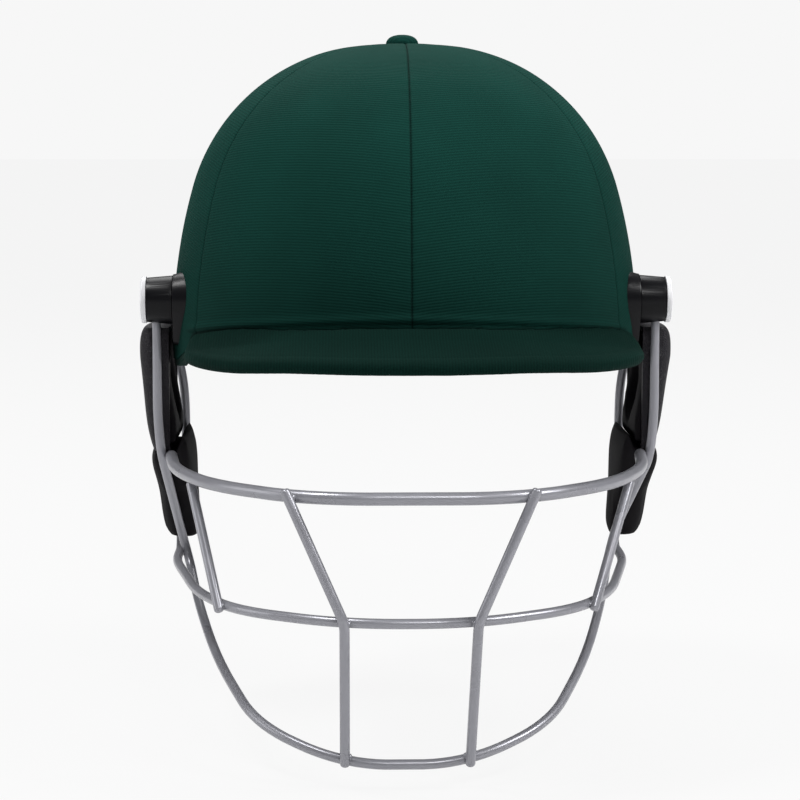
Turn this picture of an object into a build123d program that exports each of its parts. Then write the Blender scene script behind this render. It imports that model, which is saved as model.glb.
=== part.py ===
from build123d import *
from math import acos, asin, atan2, cos, degrees, hypot, radians, sin, sqrt, tan
import os

# A traditional cricket helmet: a cloth-covered dome with a wrapped peak, and a wire
# grille with ear guards that tilts on two side bolts. Millimetres. X runs to the
# wearer's left, the front faces -Y, Z is up, and the origin is in the middle of the
# head opening, level with the line where the peak leaves the dome.

# Dome, measured over its cloth
half_width = 111.8          # from the middle to the widest point
front_length = 118.0        # from the crown's axis to the brow
rear_length = 135.0         # from the crown's axis to the back
crown_height = 126.4
crown_radius = 219.0
shoulder_radius = 93.0
wall_radius = 264.0
widest_drop = 14.3          # of the widest level, below the brow line

# Rim, as drops below the brow line, and where along the side it turns
brow_rim_drop = 7.5
temple_rim_drop = 23.0
ear_rim_drop = 25.0
nape_rim_drop = 37.0
rim_turn_front_share = 0.62     # of the front length
rim_turn_temple_share = 0.24    # of the front length
rim_turn_ear_share = 0.30       # of the rear length

# Layers, from the outside in
cloth = 0.8
cloth_gap = 0.15
shell_wall = 3.2
liner_gap = 0.3
liner_wall = 9.0
pad_gap = 0.3
pad_wall = 7.0
liner_edge_lift = 16.0      # of the liner's lower edge above the rim
binding_height = 3.0
binding_gap = 0.1
seam_gap = 0.3
seat_gap = 0.3

# Crown button
button_radius = 6.9
button_height = 4.4
button_edge = 1.6
edge_ease_share = 0.25      # of an edge that its top draws in
button_stem_radius = 1.5

# Peak
peak_reach = 47.0           # ahead of the brow
peak_edge_drop = 14.2       # of its edge's middle, below the brow line
peak_edge_radius = 3.3
peak_plate = 5.0            # thickness behind the edge
peak_root_embed = 4.0
peak_end_angle = 66.0       # round from the front
peak_end_drop = 9.0         # of the joint line at the ends
peak_angle_shares = (0, 0.24, 0.46, 0.68, 0.86, 1)
peak_reach_shares = (1, 0.965, 0.85, 0.62, 0.36, 0.09)

# Side bolt, boss and cap
bolt_ahead = 30.0           # of the crown's axis
bolt_rise = 5.5
bolt_radius = 2.5
running_gap = 0.06
bolt_head_radius = 4.2
bolt_head_height = 1.6
bolt_length = 24.0
boss_outer_x = 122.3
boss_inner_x = 110.4
boss_radius = 10.5
boss_flare = 1.0
boss_gap = 0.3
cap_radius = 11.0
cap_thickness = 2.5
cap_edge = 0.8
flange_radius = 12.0
flange_foot_drop = 21.0     # of the foot's tip below the bolt
flange_foot_radius = 4.5
flange_slope_angle = 14           # degrees that its sides flare towards the shell
nut_plate_radius = 8.0
nut_plate = 1.4
nut_pocket_gap = 0.8

# Grille wires
wire_radius = 2.0
top_wire_radius = 2.5
grille_half_width = 118.2   # to the middle of the side wires
grille_reach = 174.5        # to the middle of the top bar's front
mid_bar_reach = 172.5
chin_bar_reach = 150.0
top_bar_drop = 69.0
mid_bar_drop = 122.0
chin_bar_drop = 189.0
weld_sink = 0.25
wire_end_round = 1.2
eyelet_radius = 6.6
eyelet_plate = 3.4
eyelet_bore_gap = 0.4
rear_wire_x = 114.4         # where it leaves the bolt
rear_wire_back = 37.0       # behind the crown's axis
run_share = 0.45            # of a run that each bend may take

# Side wire and chin bar: shares of the half width, the chin bar's reach and its drop
side_wire_shares = ((0.999, 0.265), (0.985, 0.364))
chin_wire_shares = (
    (0.900, -0.165, 0.652), (0.832, 0.165, 0.739), (0.730, 0.467, 0.842),
    (0.560, 0.800, 0.940), (0.250, 0.980, 0.990))
# Top bar: shares of the half width and of its reach
top_bar_shares = ((0.905, 0.447), (0.745, 0.735), (0.375, 0.980))
# Middle bar: the same, from the cheek forward, after its two places beside the jaw
mid_bar_ear_shares = (-0.140, 0.080)
mid_bar_shares = ((0.800, 0.565), (0.640, 0.815), (0.235, 0.998))
# Rear wire: shares of the side position, of its own setback and of the middle bar's drop
rear_wire_shares = ((1.003, -0.20, -0.020), (1.006, 0.60, 0.055), (0.990, 1.00, 0.185),
                    (0.956, 1.01, 0.345), (0.950, 1.00, 0.560), (0.965, 0.96, 0.890))
front_upright_x = 51.0
front_upright_foot_x = 28.0
side_upright_x = 98.5
side_upright_foot_x = 80.3
upright_bend = 12.0
upright_overhang = 3.6
side_upright_overhang = 2.6

# Ear guard: its hard shell and the pad in it
guard_top_drop = 8.0
guard_bottom_drop = 67.0
guard_inner_x = 112.7
guard_outer_x = 129.0
guard_wall = 2.4
guard_corner = 6.0
guard_front_gap = 0.5       # behind the side wire
guard_rear_gap = 0.6        # ahead of the rear wire
guard_level_shares = (0, 0.06, 0.30, 0.62, 1)
guard_bulge_shares = (0.80, 0.97, 1, 0.93, 0.64)
guard_rear_inset_shares = (1, 0.60, 0.06, 0, 0)
guard_rear_inset = 24.0     # of its rear top corner, under the rear wire
guard_crown = 0.8
ear_hole_radius = 16.0
ear_hole_back = 8.0
ear_hole_drop = 40.0
slot_length = 22.0
slot_width = 3.6
slot_pitch = 8.0
slot_count = 3
ear_pad_gap = 0.3
ear_pad_lean_shares = (0, 0, 0, 0.62, 1)
ear_pad_crown = 0.6
ear_pad_lean = 7.6          # of its lower inner face towards the cheek

# Jaw pad
jaw_bottom_drop = 112.5
jaw_outer_x = 122.5
jaw_outer_lean = 6.0
jaw_inner_x = 104.5
jaw_inner_lean = 2.0
jaw_wire_gap = 1.0
jaw_corner = 4.5
jaw_crown = 1.8
jaw_level_shares = (0, 0.08, 0.35, 0.68, 0.93, 1)
jaw_draw_shares = (0.8, 0.15, 0, 0, 0.15, 0.8)
jaw_draw = 3.2
jaw_rear_inset_shares = (0, 0.02, 0.08, 0.24, 0.64, 1)
jaw_rear_inset = 9.0

# Steel tabs that hold a guard to its wires
tab_plate = 1.5
tab_height = 9.0
tab_reach = 9.0
tab_slot_gap = 0.2
tab_drop_shares = (0.30, 0.78)  # of the guard's height

# Pads that line the shell: azimuths from the front in degrees, levels of their middles
pad_edge = 2.2
pad_side_bulge = 1.0
pad_end_share = 0.35        # of its size that a pad keeps at its ends
pad_shoulder_share = 0.86   # of its size, next to its ends
pad_flank_shares = (0.35, 0.65)     # of its depth, where its sides swell and turn in
brow_pad_spread_angle = 52.0
brow_pad_level = 13.0
brow_pad_height = 26.0
side_pad_angle = 88.0
side_pad_spread_angle = 22.0
side_pad_level = 12.0
side_pad_height = 40.0
nape_pad_spread_angle = 44.0
nape_pad_level = -4.0
nape_pad_height = 34.0
crown_pad_radius = 36.0
crown_pad_wall = 8.0
crown_pad_edge = 3.6
crown_pad_fall = 4.2        # of its face from the middle to the edge

# Chin strap, stowed round the inside of the rear rim
strap_width = 16.0
strap_wall = 1.6
strap_lift = 7.0            # of its middle above the rim
strap_start_angle = 103.0         # azimuth of its rivet
strap_outer_gap = 1.3
strap_inner_gap = 2.6
strap_shares = (0, 0.12, 0.32, 0.55, 0.8, 1)
strap_tuck_shares = (0, 0.02, 0.5, 1, 1, 1)     # towards the nape pad's face
slider_half_width = 12.0
slider_height = 20.4
slider_wall = 5.6
slider_corner = 2.0
slider_play = 2.0
rivet_radius = 3.0
rivet_head = 1.0
rivet_stem_radius = 1.6

overrun = 20.0

os.makedirs("parts", exist_ok=True)


def save(built, name):
    built.part.label = name
    export_step(built.part, f"parts/{name}.step")


def save_pair(built, name):
    """Write the wearer's left piece and its mirror image on the right."""
    for side, piece in (("left", built.part), ("right", built.part.mirror(Plane.YZ))):
        piece.label = f"{name}_{side}"
        export_step(piece, f"parts/{name}_{side}.step")


# The dome's profile is three tangent arcs, each given by its centre
crown_centre = (0, crown_height - crown_radius)
wall_centre = (half_width - wall_radius, -widest_drop)


def shoulder_from_arcs():
    """The shoulder's centre, tangent inside both the crown's and the wall's arc."""
    crown_reach = crown_radius - shoulder_radius
    wall_reach = wall_radius - shoulder_radius
    across = wall_centre[0] - crown_centre[0]
    down = wall_centre[1] - crown_centre[1]
    apart = hypot(across, down)
    along = (crown_reach**2 - wall_reach**2 + apart**2) / (2 * apart)
    off = sqrt(crown_reach**2 - along**2)
    answers = [(crown_centre[0] + (along * across + way * off * down) / apart,
                crown_centre[1] + (along * down - way * off * across) / apart) for way in (1, -1)]
    return max(answers)


shoulder_centre = shoulder_from_arcs()
crown_turn = atan2(shoulder_centre[1] - crown_centre[1], shoulder_centre[0] - crown_centre[0])
wall_turn = atan2(shoulder_centre[1] - wall_centre[1], shoulder_centre[0] - wall_centre[0])
dome_floor = -(nape_rim_drop + binding_height + overrun)


def arc_at(level, inset):
    """Centre and radius of the arc that holds the surface at this level."""
    if level > crown_centre[1] + (crown_radius - inset) * sin(crown_turn):
        return crown_centre, crown_radius - inset
    if level > wall_centre[1] + (wall_radius - inset) * sin(wall_turn):
        return shoulder_centre, shoulder_radius - inset
    return wall_centre, wall_radius - inset


def stretch(inset, azimuth):
    """How far the plan is drawn out fore and aft, for a layer of even thickness."""
    length = front_length if cos(radians(azimuth)) > 0 else rear_length
    return (length - inset) / (half_width - inset)


def dome_point(azimuth, level, inset):
    centre, radius = arc_at(level, inset)
    out = centre[0] + sqrt(radius**2 - (level - centre[1])**2)
    turn = radians(azimuth)
    return Vector(out * sin(turn), -stretch(inset, azimuth) * out * cos(turn), level)


def dome_plane(azimuth, level, inset, upright=False):
    """Section plane across a band on the dome: x points outwards, y up."""
    centre, radius = arc_at(level, inset)
    out = centre[0] + sqrt(radius**2 - (level - centre[1])**2)
    slope = 0 if upright else -(level - centre[1]) / (out - centre[0])
    turn = radians(azimuth)
    pull = stretch(inset, azimuth)
    along = Vector(cos(turn), pull * sin(turn), 0)
    rise = Vector(slope * sin(turn), -pull * slope * cos(turn), 1)
    outward = along.cross(rise)
    return Plane(dome_point(azimuth, level, inset), x_dir=outward, z_dir=-along)


def dome(inset):
    """The full dome under one layer's surface, down past the rim."""
    low = asin((dome_floor - wall_centre[1]) / (wall_radius - inset))
    halves = []
    for turn, length in ((-180, front_length), (180, rear_length)):
        with BuildPart(mode=Mode.PRIVATE) as half:
            with BuildSketch(Plane.XZ):
                with BuildLine():
                    wall = CenterArc(wall_centre, wall_radius - inset,
                                     degrees(low), degrees(wall_turn - low))
                    CenterArc(shoulder_centre, shoulder_radius - inset,
                              degrees(wall_turn), degrees(crown_turn - wall_turn))
                    crown = CenterArc(crown_centre, crown_radius - inset,
                                      degrees(crown_turn), 90 - degrees(crown_turn))
                    Polyline(crown @ 1, (0, dome_floor), wall @ 0)
                make_face()
            revolve(axis=Axis.Z, revolution_arc=turn)
            scale(by=(1, (length - inset) / (half_width - inset), 1))
        halves.append(half.part)
    return halves[0] + halves[1]


def above_rim(lift):
    """Block of everything above the rim line raised by lift, to keep."""
    with BuildPart(mode=Mode.PRIVATE) as block:
        with BuildSketch(Plane.YZ.offset(-half_width - overrun)):
            with BuildLine():
                rim = Polyline(
                    (-front_length - peak_reach, lift - brow_rim_drop),
                    (-rim_turn_front_share * front_length, lift - brow_rim_drop),
                    (-rim_turn_temple_share * front_length, lift - temple_rim_drop),
                    (rim_turn_ear_share * rear_length, lift - ear_rim_drop),
                    (rear_length + overrun, lift - nape_rim_drop))
                Polyline(rim @ 1, (rear_length + overrun, crown_height + overrun),
                         (-front_length - peak_reach, crown_height + overrun), rim @ 0)
            make_face()
        extrude(amount=2 * (half_width + overrun))
    return block.part


cover_solid = dome(0)
cloth_inside = dome(cloth)
shell_inset = cloth + cloth_gap
shell_solid = dome(shell_inset)
shell_inside = dome(shell_inset + shell_wall)
liner_inset = shell_inset + shell_wall + liner_gap
liner_solid = dome(liner_inset)
liner_inside = dome(liner_inset + liner_wall)
pad_inset = liner_inset + liner_wall + pad_gap
seat_solid = dome(-seat_gap)
rim_block = above_rim(0)


def side_plane(back, level):
    """Upright plane in the middle, seen from the wearer's left."""
    return Plane(origin=(0, back, level), x_dir=(0, 1, 0), z_dir=(1, 0, 0))


bolt_plane = side_plane(-bolt_ahead, bolt_rise)


def rim_drop(back):
    """Drop of the rim behind its turn below the ear."""
    start = rim_turn_ear_share * rear_length
    share = (back - start) / (rear_length + overrun - start)
    return ear_rim_drop + (nape_rim_drop - ear_rim_drop) * max(share, 0)


# Where the chin strap lies, and the rivets at its ends
strap_outer = shell_inset + shell_wall + strap_outer_gap
strap_inner = pad_inset + pad_wall + strap_inner_gap
strap_end_angle = 180 - degrees(slider_half_width / 4 / (half_width - strap_inner))
rivet_angle = strap_start_angle + degrees(strap_width / 2 / (half_width - strap_outer))


def strap_level(turn, inset):
    return strap_lift - rim_drop(dome_point(turn, 0, inset).Y)


def rivet_drill(radius, outer, inner):
    """Round bar along the rivet, from one depth in the helmet to another."""
    place = dome_plane(rivet_angle, strap_level(rivet_angle, strap_outer), 0)
    with BuildPart(mode=Mode.PRIVATE) as bar:
        with BuildSketch(Plane(origin=place.origin - place.x_dir * inner, z_dir=place.x_dir)):
            Circle(radius)
        extrude(amount=inner - outer)
    return bar.part


# Structural shell, with its holes for the bolts, the button and the rivets
with BuildPart() as outer_shell:
    add(shell_solid)
    add(shell_inside, mode=Mode.SUBTRACT)
    add(rim_block, mode=Mode.INTERSECT)
    with BuildSketch(bolt_plane):
        Circle(bolt_radius + eyelet_bore_gap)
    extrude(amount=half_width, both=True, mode=Mode.SUBTRACT)
    with BuildSketch(Plane.XY.offset(crown_height - overrun)):
        Circle(button_stem_radius + running_gap)
    extrude(amount=2 * overrun, mode=Mode.SUBTRACT)
    stem_hole = rivet_drill(rivet_stem_radius + running_gap, -overrun, overrun)
    add([stem_hole, stem_hole.mirror(Plane.YZ)], mode=Mode.SUBTRACT)
save(outer_shell, "outer_shell")

# Cloth: six panels that meet along seams under the button
panel_angles = {"front": (0, 60), "side": (60, 120), "rear": (120, 180)}
with BuildPart() as cover:
    add(cover_solid)
    add(cloth_inside, mode=Mode.SUBTRACT)
    add(rim_block, mode=Mode.INTERSECT)
    with BuildSketch(bolt_plane):
        Circle(bolt_radius + eyelet_bore_gap)
    extrude(amount=half_width + overrun, both=True, mode=Mode.SUBTRACT)
    with BuildSketch(Plane.XY.offset(crown_height - overrun)):
        Circle(button_stem_radius + running_gap)
    extrude(amount=2 * overrun, mode=Mode.SUBTRACT)

for place, (start, end) in panel_angles.items():
    reach = 2 * (rear_length + overrun)
    corners = [(reach * sin(radians(turn)), -reach * cos(radians(turn)))
               for turn in (start, (start + end) / 2, end)]
    with BuildPart() as panel:
        add(cover.part)
        with BuildSketch(Plane.XY.offset(dome_floor)):
            with BuildLine():
                Polyline((0, 0), *corners, close=True)
            make_face()
            offset(amount=-seam_gap / 2, kind=Kind.INTERSECTION)
        extrude(amount=crown_height - dome_floor + overrun, mode=Mode.INTERSECT)
    save_pair(panel, f"cover_panel_{place}")

# Binding along the rim, flush with the cloth
with BuildPart() as rim_binding:
    add(cover_solid)
    add(shell_inside, mode=Mode.SUBTRACT)
    add(above_rim(-binding_height), mode=Mode.INTERSECT)
    add(above_rim(-binding_gap), mode=Mode.SUBTRACT)
save(rim_binding, "rim_binding")


def domed(radius, edge_level, top_level):
    """Arc centred on the crown's axis, from its edge up to its top."""
    rise = top_level - edge_level
    around = (radius**2 + rise**2) / 2 / rise
    start = degrees(acos(radius / around))
    return (0, top_level - around), around, start, 90 - start


# Cloth-covered button on the crown
button_base = crown_height + seat_gap / 2
with BuildPart() as crown_button:
    with BuildSketch(Plane.XZ):
        with BuildLine():
            base = Line((0, button_base), (button_radius - button_edge / 2, button_base))
            side = ThreePointArc(
                base @ 1, (button_radius, button_base + button_edge / 2),
                (button_radius - edge_ease_share * button_edge, button_base + button_edge))
            top = CenterArc(*domed(button_radius - edge_ease_share * button_edge, button_base + button_edge,
                                   button_base + button_height))
            Line(top @ 1, base @ 0)
        make_face()
    revolve(axis=Axis.Z)
    with BuildSketch(Plane.XY.offset(button_base + button_height / 2)):
        Circle(button_stem_radius)
    extrude(amount=-(button_height / 2 + shell_inset + shell_wall))
save(crown_button, "crown_button")


def joint_drop(azimuth):
    """Drop of the line where the peak leaves the dome, lower towards the temples."""
    return peak_end_drop * (1 - cos(radians(azimuth))) / (1 - cos(radians(peak_end_angle)))


def peak_solid(inset):
    """Peak lofted through upright sections round the brow, drawn in by inset."""
    stations = [(share * peak_end_angle, peak_reach * part)
                for share, part in zip(peak_angle_shares, peak_reach_shares)]
    stations = [(-turn, out) for turn, out in reversed(stations[1:])] + stations
    edge = peak_edge_radius - inset
    plate = peak_plate - 2 * inset
    with BuildPart(mode=Mode.PRIVATE) as body:
        for turn, out in stations:
            drop = joint_drop(turn)
            fall = peak_edge_drop - drop
            slant = atan2(fall - peak_plate / 2, out)
            with BuildSketch(dome_plane(turn, -drop, 0, upright=True)):
                with BuildLine():
                    tip = (out - peak_edge_radius, -fall)
                    up = (tip[0] + edge * sin(slant), tip[1] + edge * cos(slant))
                    down = (tip[0] - edge * sin(slant), tip[1] - edge * cos(slant))
                    nose = (tip[0] + edge * cos(slant), tip[1] - edge * sin(slant))
                    rim = ThreePointArc(up, nose, down)
                    low = -inset - plate - peak_root_embed * sin(slant)
                    Polyline(rim @ 1, (-peak_root_embed, low), (-peak_root_embed, -inset), rim @ 0)
                make_face()
        loft()
        add(seat_solid, mode=Mode.SUBTRACT)
    return body.part


with BuildPart() as peak_core:
    add(peak_solid(cloth + running_gap))
save(peak_core, "peak_core")

with BuildPart() as peak_cover:
    add(peak_solid(0))
    add(peak_solid(cloth), mode=Mode.SUBTRACT)
save(peak_cover, "peak_cover")

# Foam liner, with a pocket round each nut
with BuildPart() as foam_liner:
    add(liner_solid)
    add(liner_inside, mode=Mode.SUBTRACT)
    add(above_rim(liner_edge_lift), mode=Mode.INTERSECT)
    with BuildSketch(bolt_plane):
        Circle(nut_plate_radius + nut_pocket_gap)
    extrude(amount=half_width, both=True, mode=Mode.SUBTRACT)
save(foam_liner, "foam_liner")


def cushion(start, end, level, height):
    """Pad along the liner: flat back, crowned face, drawn in at its sides and ends."""
    sizes = (pad_end_share, pad_shoulder_share, 1, 1, 1, pad_shoulder_share, pad_end_share)
    with BuildPart(mode=Mode.PRIVATE) as pad:
        for step, size in enumerate(sizes):
            turn = start + (end - start) * step / (len(sizes) - 1)
            half = height * size / 2
            deep = pad_wall * size
            sag = half**2 / 2 / (wall_radius - pad_inset)
            rim = half - pad_edge * size
            swell, turn_in = (-share * deep for share in pad_flank_shares)
            with BuildSketch(dome_plane(turn, level, pad_inset)):
                with BuildLine():
                    back = ThreePointArc((-sag, -half), (0, 0), (-sag, half))
                    upper = ThreePointArc(
                        back @ 1, (swell, half + pad_side_bulge * size), (turn_in, rim))
                    face = ThreePointArc(upper @ 1, (-deep, 0), (turn_in, -rim))
                    ThreePointArc(face @ 1, (swell, -half - pad_side_bulge * size), back @ 0)
                make_face()
        loft()
    return pad.part


with BuildPart() as brow_pad:
    add(cushion(-brow_pad_spread_angle, brow_pad_spread_angle, brow_pad_level, brow_pad_height))
save(brow_pad, "brow_pad")

with BuildPart() as side_pad:
    add(cushion(side_pad_angle - side_pad_spread_angle, side_pad_angle + side_pad_spread_angle,
                side_pad_level, side_pad_height))
save_pair(side_pad, "side_pad")

with BuildPart() as nape_pad:
    add(cushion(180 - nape_pad_spread_angle, 180 + nape_pad_spread_angle, nape_pad_level, nape_pad_height))
save(nape_pad, "nape_pad")

# Round pad under the crown
crown_pad_face = crown_height - pad_inset - crown_pad_wall
crown_pad_brim = crown_pad_face - crown_pad_fall
with BuildPart() as crown_pad:
    with BuildSketch(Plane.XZ):
        with BuildLine():
            face = CenterArc(*domed(crown_pad_radius - crown_pad_edge, crown_pad_brim, crown_pad_face))
            side = ThreePointArc(
                face @ 0, (crown_pad_radius, crown_pad_brim + crown_pad_edge / 2),
                (crown_pad_radius - edge_ease_share * crown_pad_edge, crown_pad_brim + crown_pad_edge))
            Polyline(side @ 1, ((side @ 1).X, crown_height), (0, crown_height), face @ 1)
        make_face()
    revolve(axis=Axis.Z)
    add(dome(pad_inset), mode=Mode.INTERSECT)
save(crown_pad, "crown_pad")


def layer_x(ahead, level, inset):
    """How far out a layer stands at a place along the side."""
    centre, radius = arc_at(level, inset)
    out = centre[0] + sqrt(radius**2 - (level - centre[1])**2)
    return out * sqrt(1 - (ahead / stretch(inset, 0) / out)**2)


# Side fixings: foot on the shell, bolt, nut behind the shell and cap
flange_top_x = boss_inner_x - boss_gap
with BuildPart() as side_flange:
    with BuildSketch(bolt_plane.offset(flange_top_x)):
        Circle(flange_radius)
        with Locations((0, -flange_foot_drop + flange_foot_radius)):
            Circle(flange_foot_radius)
        make_hull()
    extrude(amount=-overrun / 2, taper=-flange_slope_angle)
    add(seat_solid, mode=Mode.SUBTRACT)
    with BuildSketch(bolt_plane.offset(flange_top_x)):
        Circle(bolt_radius + eyelet_bore_gap)
    extrude(amount=-overrun, mode=Mode.SUBTRACT)
save_pair(side_flange, "side_flange")

head_x = boss_outer_x + boss_gap / 2
with BuildPart() as fixing_bolt:
    with BuildSketch(bolt_plane.offset(head_x)):
        Circle(bolt_radius)
    extrude(amount=-bolt_length)
    with BuildSketch(bolt_plane.offset(head_x)):
        Circle(bolt_head_radius)
    extrude(amount=bolt_head_height)
save_pair(fixing_bolt, "fixing_bolt")

with BuildPart() as fixing_cap:
    with BuildSketch(bolt_plane.offset(boss_outer_x + boss_gap)):
        Circle(cap_radius)
    extrude(amount=cap_thickness)
    fillet(fixing_cap.faces().sort_by(Axis.X)[-1].edges(), radius=cap_edge)
    with BuildSketch(bolt_plane.offset(boss_outer_x)):
        Circle(bolt_head_radius + running_gap)
    extrude(amount=bolt_head_height + 2 * boss_gap, mode=Mode.SUBTRACT)
save_pair(fixing_cap, "fixing_cap")

nut_face_x = layer_x(bolt_ahead + nut_plate_radius, bolt_rise, shell_inset + shell_wall) - nut_plate
with BuildPart() as fixing_nut:
    with BuildSketch(bolt_plane.offset(nut_face_x)):
        Circle(nut_plate_radius)
    extrude(amount=overrun)
    add(dome(shell_inset + shell_wall + running_gap), mode=Mode.INTERSECT)
    with BuildSketch(bolt_plane.offset(nut_face_x)):
        Circle(bolt_radius + running_gap)
    extrude(amount=overrun, mode=Mode.SUBTRACT)
save_pair(fixing_nut, "fixing_nut")


def bends(points):
    """Bend radii at the inner points, each as large as its two runs allow."""
    radii = []
    for before, at, after in zip(points, points[1:], points[2:]):
        arrive = Vector(at) - Vector(before)
        leave = Vector(after) - Vector(at)
        turn = radians(arrive.get_angle(leave))
        radii.append(run_share * min(arrive.length, leave.length) / tan(turn / 2))
    return radii


def wire_path(points, radii=None):
    with BuildLine(mode=Mode.PRIVATE) as path:
        if len(points) == 2:
            Line(*points)
        else:
            FilletPolyline(*points, radius=radii or bends(points))
    return path.wires()[0]


def wire(path, radius):
    """Round bar swept along its path."""
    with BuildPart(mode=Mode.PRIVATE) as bar:
        with BuildSketch(Plane(origin=path @ 0, z_dir=path % 0)):
            Circle(radius)
        sweep(path=path)
    return bar.part


def both_halves(points):
    """A path from the wearer's left round to the right."""
    return points + [(-x, y, z) for x, y, z in reversed(points)]


def at_x(path, x):
    """Share of a path, within its left half, where it has come in to x."""
    low, high = 0, 0.5
    for _ in range(40):
        middle = (low + high) / 2
        low, high = (middle, high) if (path @ middle).X > x else (low, middle)
    return low


def at_drop(path, drop):
    """Share of a path, within its left half, where it has come down to the drop."""
    low, high = 0, 0.5
    for _ in range(40):
        middle = (low + high) / 2
        low, high = (middle, high) if (path @ middle).Z > -drop else (low, middle)
    return low


# Side wires and chin bar, one wire from bolt to bolt
side_points = [(grille_half_width, -bolt_ahead, bolt_rise - eyelet_radius + wire_radius)]
side_points += [(x * grille_half_width, -bolt_ahead, -z * chin_bar_drop)
                for x, z in side_wire_shares]
side_points += [(x * grille_half_width, -y * chin_bar_reach, -z * chin_bar_drop)
                for x, y, z in chin_wire_shares]
side_path = wire_path(both_halves(side_points))

# Top bar, level, welded inside the side wires
top_weld = side_path @ at_drop(side_path, top_bar_drop)
top_end_x = top_weld.X - wire_radius - top_wire_radius + weld_sink
top_points = [(top_end_x, top_weld.Y + wire_radius / 4, -top_bar_drop)]
top_points += [(x * grille_half_width, -y * grille_reach, -top_bar_drop) for x, y in top_bar_shares]
top_path = wire_path(both_halves(top_points))

# Middle bar, level, outside the jaw corners, and its ends up behind the ears to the bolts
jaw_weld = side_path @ at_drop(side_path, mid_bar_drop)
jaw_x = jaw_weld.X + 2 * wire_radius - weld_sink
rear_points = [(rear_wire_x, -bolt_ahead + eyelet_radius - wire_radius, bolt_rise)]
rear_points += [(x * rear_wire_x, y * rear_wire_back, -z * mid_bar_drop)
                for x, y, z in rear_wire_shares]
rear_points += [(jaw_x, -y * mid_bar_reach, -mid_bar_drop) for y in mid_bar_ear_shares]
rear_points += [(x * grille_half_width, -y * mid_bar_reach, -mid_bar_drop) for x, y in mid_bar_shares]
mid_path = wire_path(both_halves(rear_points))


def bar_with_eyelets(path, x, radius):
    """Bar whose two ends are flattened into eyelets on the side bolts."""
    with BuildPart(mode=Mode.PRIVATE) as bar:
        add(wire(path, radius))
        for way in (1, -1):
            with BuildSketch(bolt_plane.offset(way * x)):
                Circle(eyelet_radius)
            extrude(amount=eyelet_plate / 2, both=True)
        with BuildSketch(bolt_plane):
            Circle(bolt_radius + eyelet_bore_gap)
        extrude(amount=x + overrun, both=True, mode=Mode.SUBTRACT)
    return bar.part


with BuildPart() as grille_frame_wire:
    add(bar_with_eyelets(side_path, grille_half_width, wire_radius))
save(grille_frame_wire, "grille_frame_wire")

with BuildPart() as grille_mid_bar:
    add(bar_with_eyelets(mid_path, rear_wire_x, wire_radius))
save(grille_mid_bar, "grille_mid_bar")

with BuildPart() as grille_top_bar:
    add(wire(top_path, top_wire_radius))
save(grille_top_bar, "grille_top_bar")


def outward_at(path, share):
    """Level direction out of the grille, square to a bar."""
    along = path % share
    return Vector(-along.Y, along.X, 0).normalized() * (1 if along.X < 0 else -1)


def rounded(bar, path):
    """Both cut ends eased."""
    ends = [bar.faces().sort_by_distance(path @ share)[0] for share in (0, 1)]
    return bar.fillet(wire_end_round, [edge for end in ends for edge in end.edges()])


# Front uprights, on the front of all three bars
top_share = at_x(top_path, front_upright_x)
mid_share = at_x(mid_path, front_upright_foot_x)
chin_share = at_x(side_path, front_upright_foot_x)
head_seat = wire_radius + top_wire_radius - weld_sink
bar_seat = 2 * wire_radius - weld_sink
head = (top_path @ top_share) + outward_at(top_path, top_share) * head_seat
elbow = (mid_path @ mid_share) + outward_at(mid_path, mid_share) * bar_seat
chin_out = (side_path % chin_share).cross((side_path @ chin_share) - elbow).normalized()
foot = (side_path @ chin_share) + chin_out * bar_seat * (1 if chin_out.Y < 0 else -1)
head = head + (head - elbow).normalized() * upright_overhang
foot = foot + (foot - elbow).normalized() * upright_overhang
elbow_turn = radians((elbow - head).get_angle(foot - elbow))
elbow = elbow + outward_at(mid_path, mid_share) * upright_bend * (1 / cos(elbow_turn / 2) - 1)
front_upright_path = wire_path([head, elbow, foot], [upright_bend])
with BuildPart() as front_upright:
    add(rounded(wire(front_upright_path, wire_radius), front_upright_path))
save_pair(front_upright, "grille_upright_front")

# Short side uprights, from under the top bar to the front of the middle bar
under = top_path @ at_x(top_path, side_upright_x)
head = under - Vector(0, 0, top_wire_radius - weld_sink)
mid_share = at_x(mid_path, side_upright_foot_x)
foot = (mid_path @ mid_share) + outward_at(mid_path, mid_share) * bar_seat
foot = foot + (foot - head).normalized() * side_upright_overhang
side_upright_path = wire_path([head, foot])
with BuildPart() as side_upright:
    add(rounded(wire(side_upright_path, wire_radius), side_upright_path))
save_pair(side_upright, "grille_upright_side")

# Boss moulded round the eyelets; it turns on the bolt with the grille
with BuildPart() as fixing_boss:
    with BuildSketch(bolt_plane.offset(boss_inner_x)):
        Circle(boss_radius + boss_flare)
    extrude(amount=boss_outer_x - boss_inner_x,
            taper=degrees(atan2(boss_flare, boss_outer_x - boss_inner_x)))
    add(grille_frame_wire.part, mode=Mode.SUBTRACT)
    add(grille_mid_bar.part, mode=Mode.SUBTRACT)
    with BuildSketch(bolt_plane.offset(boss_inner_x)):
        Circle(bolt_radius + running_gap)
    extrude(amount=boss_outer_x - boss_inner_x, mode=Mode.SUBTRACT)
save_pair(fixing_boss, "fixing_boss")


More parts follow.
